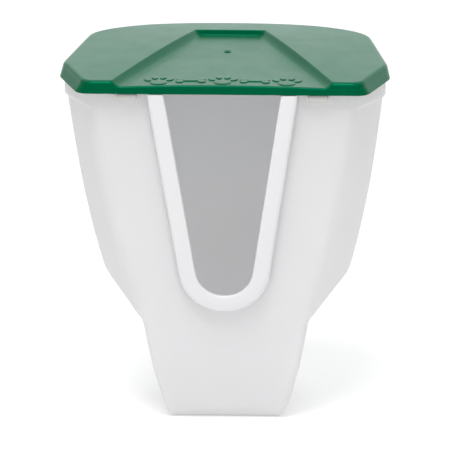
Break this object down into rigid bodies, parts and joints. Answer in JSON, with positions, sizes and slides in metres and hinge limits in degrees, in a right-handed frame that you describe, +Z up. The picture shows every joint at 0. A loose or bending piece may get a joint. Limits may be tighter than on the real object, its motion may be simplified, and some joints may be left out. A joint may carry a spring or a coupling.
{
  "type": "dog waste bin",
  "caption": "Dog waste bin: an open-topped white hopper on a narrow foot, with a tall tapered front slot, a trim round it and a hinged green lid.",
  "frame": {"origin": "centre of the flat underside of the foot", "axes": "+Z up, the front panel and its slot face -Y, +X is to the right of someone facing the front"},
  "size_m": [0.3386, 0.2393, 0.3758],
  "materials": {
    "body_white": "fine moulded texture, satin",
    "trim_white": "smooth, soft gloss",
    "lid_green": "fine moulded texture, soft gloss",
    "hinge_steel": "drawn stainless",
    "clip_white": "satin"
  },
  "bodies": {
    "root": {"body_shell": "body_white", "opening_trim": "trim_white", "hinge_rod": "hinge_steel", "rod_cap_left": "clip_white", "rod_cap_right": "clip_white", "front_catch_left": "clip_white", "front_catch_right": "clip_white"},
    "lid": {"lid_shell": "lid_green"}
  },
  "joints": [
    {"name": "lid_hinge", "type": "hinge", "parent": "root", "child": "lid", "pos_m": [0, 0.1133, 0.3575], "axis": [-1, 0, 0], "range_deg": [0, 105]}
  ]
}
